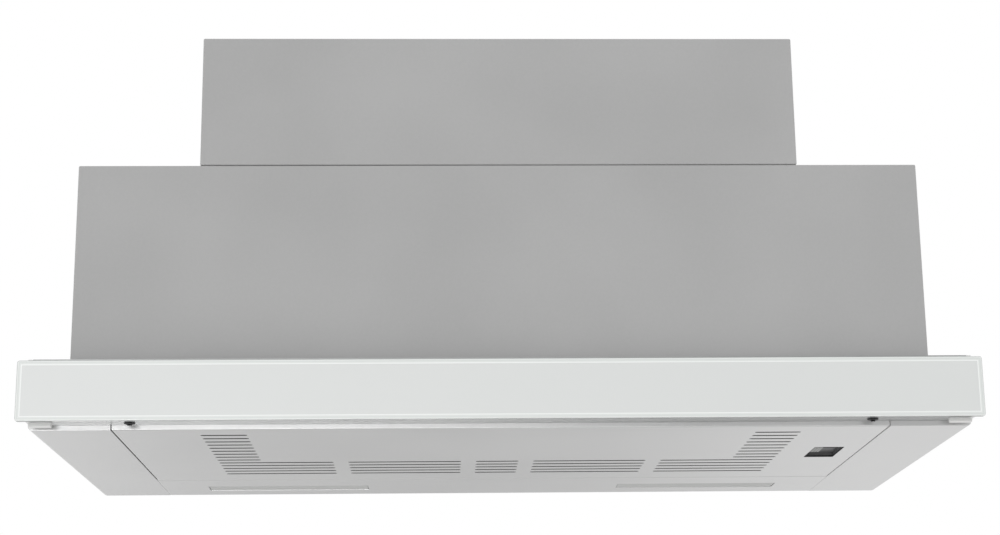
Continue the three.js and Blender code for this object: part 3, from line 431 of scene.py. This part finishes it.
def lip_bends(node):
    """True for the lower corners at the front, and along the sides, of a folded base sheet."""
    low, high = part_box(node)

    def on_bend(point):
        return near(point.z, low.z) and (
            near(point.y, low.y) or near(point.x, low.x) or near(point.x, high.x))

    return on_bend


def base_sheet(node, side, shift, edge_finish):
    """A folded sheet of the base with one side drawn nearer to its neighbour, and its hole edges."""
    side_strip = 1.8 * MM       # corners within this of the side move with it
    margin = 2 * MM             # holes lie farther than this from the outline
    below_top = 0.9 * MM        # the flat sheet's own thickness, less its upper rim
    low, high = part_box(node)
    shape = merged_copy(node)
    lip = lip_bends(node)
    edge = {"left": low.x, "right": high.x, "rear": high.y}[side]
    axis = 1 if side == "rear" else 0
    round_off(shape, [e for e in sharp_edges(shape) if all(lip(v.co) for v in e.verts)], 0.8 * MM, 4)
    beside = [v for v in shape.verts if abs(v.co[axis] - edge) < side_strip]
    step = Vector((0, 0, 0))
    step[axis] = shift
    bmesh.ops.translate(shape, verts=beside, vec=step)
    round_off(shape, sharp_edges(shape), 0.25 * MM, 2)
    for face in shape.faces:
        middle = face.calc_center_median()
        inside = all(low[i] + margin < middle[i] < high[i] - margin for i in (0, 1))
        in_sheet = middle.z < low.z + below_top
        face.material_index = 1 if inside and in_sheet and abs(face.normal.z) < 0.9 else 0
    body = frame["nodes"][node]["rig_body"]
    return piece(shape, node + "_finished", [base_lacquer, edge_finish], body, [node])


for name in ("lower_casing", "upper_casing"):
    dressed(name, casing_paint, bends=box_bends(name), bend_radius=0.9 * MM)
base_sheet("base_wing_left", "right", 0.5 * MM, base_lacquer)
base_sheet("base_wing_right", "left", -0.75 * MM, base_lacquer)
# the filter panel's slot and window walls take the near-black painted shade
base_sheet("filter_panel", "rear", 0.3 * MM, slot_shade_finish)
base_sheet("lamp_panel", "rear", 0, base_lacquer)
for name in pair("lamp_diffuser"):
    # the lap behind the window's edge is black, a painted shade seen as a dark line in front of the lens
    low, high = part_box(name)
    shape = merged_copy(name)
    round_off(shape, sharp_edges(shape), 0.3 * MM, 2)
    for face in shape.faces:
        behind = face.calc_center_median().z > low.z + 0.5 * MM
        face.material_index = 1 if behind and face.normal.z < -0.5 else 0
    piece(shape, name + "_finished", [lamp_cover, black_polypropylene], "casing", [name])
for name in pair("lamp_housing"):
    dressed(name, aluminium)

# ---------------------------------------------------------------- glass


def glass_front():
    """A strip of glass with rounded corners, painted on its back up to a bare border all round."""
    arris, corner = 0.6 * MM, 1.5 * MM
    # from the edge inwards: bare border, a thin shadow line in it, and the bright rim of the paint
    lines = [1.2 * MM, 1.6 * MM, 2.5 * MM, 3.1 * MM]
    finishes = [glass_paint, glass_line, glass_border, glass_shade, glass_edge, glass_under_edge]
    paint, bright, bare, shade, ground, under = range(len(finishes))
    bands = [bare, shade, bare, bright, paint]
    low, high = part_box("glass_front")
    size = high - low
    shape = bmesh.new()
    bmesh.ops.create_cube(shape, size=1, matrix=(
        Matrix.Translation((low + high) / 2) @ Matrix.Diagonal((*size, 1))))
    upright = [e for e in shape.edges if abs((e.verts[0].co - e.verts[1].co).y) > size.y / 2]
    round_off(shape, upright, corner, 5)
    outline = [e for e in sharp_edges(shape) if near(e.verts[0].co.y, e.verts[1].co.y)]
    round_off(shape, outline, arris, 3)
    for line in lines:
        for corner_point, direction in ((low, 1), (high, -1)):
            for axis in (0, 2):
                normal = Vector((0, 0, 0))
                normal[axis] = direction
                place = corner_point + normal * line
                bmesh.ops.bisect_plane(shape, geom=shape.verts[:] + shape.edges[:] + shape.faces[:],
                                       dist=MERGE, plane_co=place, plane_no=normal)
    for face in shape.faces:
        middle = face.calc_center_median()
        inset = min(middle.x - low.x, high.x - middle.x, middle.z - low.z, high.z - middle.z)
        face.material_index = bands[sum(inset > line for line in lines)]
        if abs(face.normal.y) < 0.95:
            # the ground edge; its lower front arris gets the bright line's finish as a painted
            # highlight, and the faces underneath the darker painted shade
            catches_light = face.normal.z < -0.2 and face.normal.y < -0.4
            underneath = face.normal.z < -0.5
            face.material_index = bright if catches_light else under if underneath else ground
    return piece(shape, "glass_pane", finishes, "slider", ["glass_front"])


glass_front()

# ---------------------------------------------------------------- slider

dressed("front_profile", channel_aluminium)
for name in pair("profile_end_cap"):
    dressed(name, white_abs, edge=0.5 * MM)
cap_low, cap_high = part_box("profile_end_cap_right")
foot_size = Vector((14, 4, 3.2)) * MM
foot_inset = 1.5 * MM        # from the outer end of the cap
foot_back = 3.2 * MM         # its middle, behind the front of the cap
foot_sunk = 0.5 * MM         # its top, above the underside of the cap
for side, name in zip((-1, 1), pair("end_cap_foot")):
    # the foot of the end cap, right behind the glass and in front of the base's folded edge
    shape = bmesh.new()
    middle = Vector((side * (cap_high.x - foot_size.x / 2 - foot_inset), cap_low.y + foot_back,
                     cap_low.z - foot_size.z / 2 + foot_sunk))
    bmesh.ops.create_cube(shape, size=1, matrix=(
        Matrix.Translation(middle) @ Matrix.Diagonal((*foot_size, 1))))
    round_off(shape, sharp_edges(shape), 0.5 * MM, 3)
    piece(shape, name, [white_abs], "slider")
for name in pair("slider_arm") + ["slider_rear_bar"]:
    dressed(name, galvanised)
dressed("slider_cover", base_lacquer)
for name in pair("rail_outer") + pair("rail_middle") + pair("rail_inner") + pair("panel_hinge_pin"):
    dressed(name, bright_zinc)
for name in pair("panel_catch"):
    dressed(name, black_polypropylene)
dressed("switch_housing", graphite_abs, edge=0.3 * MM)
dressed("switch_knob", grey_abs, edge=0.3 * MM)
for name, spin in zip(pair("profile_screw"), (0.4, 1.1)):
    low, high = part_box(name)
    seat = low.z + 0.8 * MM
    screw = cross_screw(3.5 * MM, 0.8 * MM, 1.6 * MM, high.z - seat)
    place = Vector(((low.x + high.x) / 2, (low.y + high.y) / 2, seat))
    piece(set_on(screw, place, (0, 0, -1), spin), name + "_head", [black_screw], "slider",
          [name])

# ---------------------------------------------------------------- filters, blower and outlet


def expanded_sheet(name, low, high, level, body, cell=(11 * MM, 6 * MM), strand=0.8 * MM):
    """One layer of expanded aluminium over a filter's opening: diamonds cut and drawn from a sheet."""
    width, depth = high.x - low.x, high.y - low.y
    count = math.ceil(width / cell[0] + depth / cell[1]) + 1
    middle = Vector(((low.x + high.x) / 2, (low.y + high.y) / 2, level))
    shape = bmesh.new()
    bmesh.ops.create_grid(shape, x_segments=count, y_segments=count, size=count / 2, matrix=(
        Matrix.Translation(middle)
        @ Matrix.Diagonal((cell[0] / math.sqrt(2), cell[1] / math.sqrt(2), 1, 1))
        @ Matrix.Rotation(math.radians(45), 4, "Z")))
    for corner, outward in ((low, -1), (high, 1)):
        for axis in (0, 1):
            normal = Vector((0, 0, 0))
            normal[axis] = outward
            bmesh.ops.bisect_plane(shape, geom=shape.verts[:] + shape.edges[:] + shape.faces[:],
                                   dist=MERGE, plane_co=corner, plane_no=normal, clear_outer=True)
    bmesh.ops.wireframe(shape, faces=shape.faces, thickness=strand, use_replace=True,
                        use_boundary=True, use_even_offset=True)
    piece(shape, name, [aluminium], body)


def mesh_cassette(node, edge, layers, front=10 * MM):
    """A filter cassette: folded aluminium frame, its layers' depth with painted shade, and its outer
    meshes.
    """
    low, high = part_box(node)
    rail = Vector((10, 10, 0)) * MM
    shape = merged_copy(node)
    round_off(shape, sharp_edges(shape), edge, 2)
    for face in shape.faces:
        middle = face.calc_center_median()
        in_well = all((low + rail)[i] < middle[i] < (high - rail)[i] for i in (0, 1))
        face.material_index = 1 if in_well and low.z + MM < middle.z < high.z - MM else 0
    body = frame["nodes"][node]["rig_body"]
    piece(shape, node + "_finished", [aluminium, filter_depth_shade], body, [node])
    for number, level in enumerate(layers):
        expanded_sheet(f"{node}_mesh_{number + 1}", low + Vector((rail.x, front, 0)), high - rail, level,
                       body)


mesh_sunk = 1.7 * MM         # outer meshes lie this far inside the faces of a cassette
panel_low, panel_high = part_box("panel_filter")
mesh_cassette("panel_filter", 0.5 * MM, [panel_low.z + mesh_sunk, panel_high.z - mesh_sunk])
for name in pair("inner_filter"):
    # the mesh starts behind the pocket that the latch slides in
    mesh_cassette(name, 0.4 * MM, [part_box(name)[0].z + mesh_sunk], front=16.5 * MM)
dressed("suction_plate", galvanised)
for name in pair("filter_latch"):
    dressed(name, black_polypropylene)
for name in pair("blower_housing"):
    dressed(name, black_polypropylene, edge=0.4 * MM)
dressed("impeller", grey_abs, edge=0)
dressed("motor_shaft", bright_zinc, edge=0.3 * MM)


def vented_motor():
    """The motor's shell with a ring of sunk vents round it, and the four tie screws at its end."""
    low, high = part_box("motor")
    axis = (low + high) / 2
    smallest_facet = 80 * MM * MM
    tie_circle = 28 * MM
    tie_seat = high.x - 3.5 * MM
    shape = merged_copy("motor")
    barrel = [f for f in shape.faces if abs(f.normal.x) < 0.1 and f.calc_area() > smallest_facet]
    barrel.sort(key=lambda f: math.atan2(f.calc_center_median().z - axis.z,
                                         f.calc_center_median().y - axis.y))
    vents = barrel[::2]      # every second facet of the barrel
    rims = [e for e in sharp_edges(shape) if not any(f in vents for f in e.link_faces)]
    bmesh.ops.inset_individual(shape, faces=vents, thickness=1.6 * MM, use_even_offset=True)
    bmesh.ops.inset_individual(shape, faces=vents, thickness=0.2 * MM, depth=-1.2 * MM)
    # the sunk vent floors take the near-black screw finish as painted shade, standing in for the dark
    # inside of open vents
    for face in vents:
        face.material_index = 1
    round_off(shape, rims, 0.6 * MM, 2)
    piece(shape, "motor_finished", [motor_enamel, black_screw], "casing", ["motor"])
    ties = []
    for turn in QUARTERS:
        angle = math.radians(turn)
        seat = Vector((tie_seat, axis.y + tie_circle * math.cos(angle),
                       axis.z + tie_circle * math.sin(angle)))
        ties.append(set_on(cross_screw(2.8 * MM, 1.6 * MM, 1.5 * MM, 4 * MM), seat, (1, 0, 0), angle))
    piece(gathered(ties), "motor_tie_screws", [bright_zinc], "casing")


vented_motor()
dressed("motor_bracket", galvanised)
dressed("outlet_collar", black_polypropylene, edge=0.4 * MM)
dressed("flap_rod", bright_zinc)
for name in ("outlet_flap_front", "outlet_flap_rear"):
    dressed(name, black_polypropylene)
dressed("capacitor", white_polyamide, edge=0.4 * MM)
dressed("terminal_box", white_polyamide, edge=0.6 * MM)
dressed("cable_gland", black_polypropylene, edge=0.4 * MM)
dressed("door_switch", black_polypropylene)

# ---------------------------------------------------------------- fasteners and fittings


def blind_rivet(radius=3.2 * MM, height=1.1 * MM):
    """A low domed rivet head with the sunk end of its mandrel, its foot a little below z = 0."""
    return turned([(0, 0.5 * height), (0.3 * radius, 0.5 * height), (0.38 * radius, height),
                   (0.75 * radius, 0.85 * height), (0.95 * radius, 0.5 * height), (radius, 0),
                   (radius, -0.3 * MM), (0, -0.3 * MM)], 20)


def hexagon(across, height, place):
    """A hexagon nut with its corners turned off."""
    radius = across / math.sqrt(3)
    shape = bmesh.new()
    bmesh.ops.create_cone(shape, cap_ends=True, segments=6, radius1=radius, radius2=radius,
                          depth=height, matrix=Matrix.Translation(place))
    round_off(shape, sharp_edges(shape), 0.06 * across, 2)
    return shape


def casing_rivets():
    """Domed rivets on both sides: three that hold each fixed rail, and small ones up the rear lap."""
    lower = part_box("lower_casing")[1]
    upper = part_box("upper_casing")[1]
    lap = lower.y - 8 * MM
    rail_height = 22 * MM
    rivets = []
    for side in (-1, 1):
        outward = (side, 0, 0)
        for y in (-90, 0, 90):
            rivets.append(set_on(blind_rivet(), Vector((side * lower.x, y * MM, rail_height)), outward))
        for wall, heights in ((lower.x, (48, 98, 148)), (upper.x, (192, 242))):
            for z in heights:
                rivets.append(set_on(blind_rivet(2.4 * MM, 0.9 * MM),
                                     Vector((side * wall, lap, z * MM)), outward))
    piece(gathered(rivets), "casing_rivets", [bright_zinc], "casing")


def fixing_screws():
    """Four screws in the collar's flange, and two in the lid of the terminal box."""
    low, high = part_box("outlet_collar")
    axis = (low + high) / 2
    circle = 84 * MM
    flange_top = low.z + 1.7 * MM
    box_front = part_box("terminal_box")[0].y
    lid_screw_height = 231 * MM
    screws = []
    for turn in QUARTERS:
        angle = math.radians(turn)
        seat = Vector((axis.x + circle * math.cos(angle), axis.y + circle * math.sin(angle), flange_top))
        screws.append(set_on(cross_screw(3.6 * MM, 1.9 * MM, 1.6 * MM, 4 * MM), seat, (0, 0, 1), angle))
    for x in (92, 162):
        seat = Vector((x * MM, box_front, lid_screw_height))
        screws.append(set_on(cross_screw(3 * MM, 1.5 * MM, 1.2 * MM, 3 * MM), seat, (0, -1, 0), 0.3))
    piece(gathered(screws), "fixing_screws", [bright_zinc], "casing")


def cover_screws():
    """Three screws along each side of the slider's cover, each stopped at its own angle."""
    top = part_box("slider_cover")[1].z
    screws = [
        set_on(cross_screw(3.2 * MM, 1.3 * MM, 1.4 * MM, 3 * MM), Vector((x * MM, y * MM, top)),
               (0, 0, 1), 0.2 + y)
        for x in (-247, 247) for y in (-112, -34, 36)]
    piece(gathered(screws), "cover_screws", [bright_zinc], "slider")


def gland_nut():
    """The cap nut of the cable gland and the rubber seal that shows in its mouth."""
    low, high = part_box("cable_gland")
    top = Vector(((low.x + high.x) / 2, (low.y + high.y) / 2, high.z))
    nut = turned([(7.4 * MM, -0.2 * MM), (7.4 * MM, 3 * MM), (6.6 * MM, 3.6 * MM),
                  (4.2 * MM, 3.6 * MM), (4.2 * MM, -0.2 * MM), (7.4 * MM, -0.2 * MM)], 6)
    seal = turned([(4.4 * MM, 3.2 * MM), (4.2 * MM, 4.6 * MM), (3.6 * MM, 4.6 * MM),
                   (3.6 * MM, 0.2 * MM), (4.4 * MM, 0.2 * MM), (4.4 * MM, 3.2 * MM)], 24)
    round_off(nut, sharp_edges(nut), 0.3 * MM, 2)
    piece(set_on(gathered([nut, seal]), top, (0, 0, 1)), "gland_nut", [black_polypropylene], "casing")


def capacitor_fittings():
    """Two blade terminals on top of the can, and the threaded stud with its nut below."""
    low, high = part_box("capacitor")
    axis = (low + high) / 2
    blade_size = Vector((0.8, 6.3, 7.6)) * MM
    fittings = []
    for offset in (-5, 5):
        blade = bmesh.new()
        bmesh.ops.create_cube(blade, size=1, matrix=Matrix.Translation(
            (axis.x + offset * MM, axis.y, high.z + 2.8 * MM)) @ Matrix.Diagonal((*blade_size, 1)))
        tip = [e for e in sharp_edges(blade) if all(v.co.z > high.z + 5 * MM for v in e.verts)
               and near(e.verts[0].co.y, e.verts[1].co.y)]
        round_off(blade, tip, 1.6 * MM, 2)
        fittings.append(blade)
    stud = turned([(0, 0), (3.2 * MM, 0), (4 * MM, 0.8 * MM), (4 * MM, 9 * MM), (0, 9 * MM)], 20)
    bmesh.ops.translate(stud, verts=stud.verts, vec=(axis.x, axis.y, low.z - 8 * MM))
    fittings += [stud, hexagon(13 * MM, 4 * MM, (axis.x, axis.y, low.z - 1.8 * MM))]
    piece(gathered(fittings), "capacitor_fittings", [bright_zinc], "casing")


casing_rivets()
fixing_screws()
cover_screws()
gland_nut()
capacitor_fittings()

# ---------------------------------------------------------------- camera, floor and light


def photo_camera():
    """The camera stands in front of the hood, a little left of its middle and below it, looking up."""
    yaw, pitch, roll = 0.0324, 0.2553, -0.0114
    forward = Vector((math.sin(yaw) * math.cos(pitch), math.cos(yaw) * math.cos(pitch), math.sin(pitch)))
    level = Vector((math.cos(yaw), -math.sin(yaw), 0))
    upward = level.cross(forward)
    right = level * math.cos(roll) + upward * math.sin(roll)
    above = upward * math.cos(roll) - level * math.sin(roll)
    camera = bpy.data.objects.new("photo_camera", bpy.data.cameras.new("photo_camera"))
    camera.data.sensor_width = 36
    camera.data.lens = 70.86
    camera.data.clip_start = 0.05
    turn = Matrix((right, above, -forward)).transposed().to_4x4()
    camera.matrix_world = Matrix.Translation((-0.04, -1.3435, -0.2125)) @ turn
    bpy.context.scene.collection.objects.link(camera)
    bpy.context.scene.camera = camera


def pale_floor():
    """A wide floor under the hanging hood, out of the photograph's view."""
    shape = bmesh.new()
    bmesh.ops.create_grid(shape, x_segments=1, y_segments=1, size=7,
                          matrix=Matrix.Translation((0, 0, -3)))
    mesh = bpy.data.meshes.new("floor")
    shape.to_mesh(mesh)
    shape.free()
    floor = bpy.data.objects.new("floor", mesh)
    bpy.context.scene.collection.objects.link(floor)
    paint, tree, shader, place = material("pale_floor", Roughness=0.8)
    cloud = add(tree, "ShaderNodeTexNoise", {"Scale": 1.5, "Detail": 2}, {"Vector": place})
    colour = add(tree, "ShaderNodeValToRGB", None, {"Fac": cloud.outputs["Fac"]})
    colour.color_ramp.elements[0].color = linear("#e6e6e5")
    colour.color_ramp.elements[1].color = linear("#eeeeed")
    tree.links.new(colour.outputs["Color"], shader.inputs["Base Color"])
    mesh.materials.append(paint)


def softbox(name, place, aim, size, watts, only_mirrored=False):
    """A flat rectangular light that the camera doesn't see."""
    light = bpy.data.lights.new(name, "AREA")
    light.shape = "RECTANGLE"
    light.size, light.size_y = size
    light.energy = watts
    lamp = bpy.data.objects.new(name, light)
    lamp.location = place
    lamp.rotation_euler = (Vector(aim) - Vector(place)).to_track_quat("-Z", "Y").to_euler()
    lamp.visible_camera = False
    lamp.visible_diffuse = not only_mirrored
    bpy.context.scene.collection.objects.link(lamp)


def white_surround():
    """A white surround that lights the hood softly, with a few broad lighter and darker panels."""
    evenly = 0.92
    # direction, half angle of the panel and of its soft rim in degrees, strength against the rest
    panels = (
        ((-0.40, -0.90, 0.12), 12, 45, 0.42),
        ((0.34, -0.94, 0.08), 8, 38, -0.60),
        ((-0.01, 1.00, -0.23), 1, 13, -0.36),
    )
    world = bpy.data.worlds.new("white_surround")
    bpy.context.scene.world = world
    world.use_nodes = True
    tree = world.node_tree
    towards = add(tree, "ShaderNodeTexCoord").outputs["Generated"]
    level = add(tree, "ShaderNodeValue").outputs[0]
    level.default_value = evenly
    for direction, inner, outer, strength in panels:
        facing = add(tree, "ShaderNodeVectorMath", {
            "operation": "DOT_PRODUCT", 1: Vector(direction).normalized()}, {0: towards})
        panel = add(tree, "ShaderNodeMapRange", {
            "interpolation_type": "SMOOTHSTEP", "From Min": math.cos(math.radians(outer)),
            "From Max": math.cos(math.radians(inner)), "To Min": 0, "To Max": strength},
            {"Value": facing.outputs["Value"]})
        level = add(tree, "ShaderNodeMath", {"operation": "ADD"},
                    {0: panel.outputs["Result"], 1: level}).outputs[0]
    lighting = tree.nodes["Background"]
    lighting.inputs["Color"].default_value = (1, 1, 1, 1)
    tree.links.new(level, lighting.inputs["Strength"])
    seen = add(tree, "ShaderNodeBackground", {"Color": (1, 1, 1, 1), "Strength": 1.0})
    path = add(tree, "ShaderNodeLightPath")
    mixed = add(tree, "ShaderNodeMixShader", None, {
        0: path.outputs["Is Camera Ray"], 1: lighting.outputs[0], 2: seen.outputs[0]})
    tree.links.new(mixed.outputs[0], tree.nodes["World Output"].inputs["Surface"])


bpy.context.scene.view_settings.view_transform = "Standard"
photo_camera()
pale_floor()
white_surround()
softbox("softbox_left", (-1.8, -2.2, 1.3), (0, 0, 0.1), (1.6, 1.2), 3)
softbox("softbox_right", (2.0, -2.0, 1.2), (0, 0, 0.1), (1.4, 1.2), 9)
# white cards low on both sides that only show as reflections in the satin metal
softbox("low_card_left", (-0.8, -1.75, -0.36), (-0.8, 0, -0.36), (1.7, 0.66), 11, True)
softbox("low_card_right", (0.85, -1.75, -0.36), (0.85, 0, -0.36), (0.6, 0.66), 1.5, True)
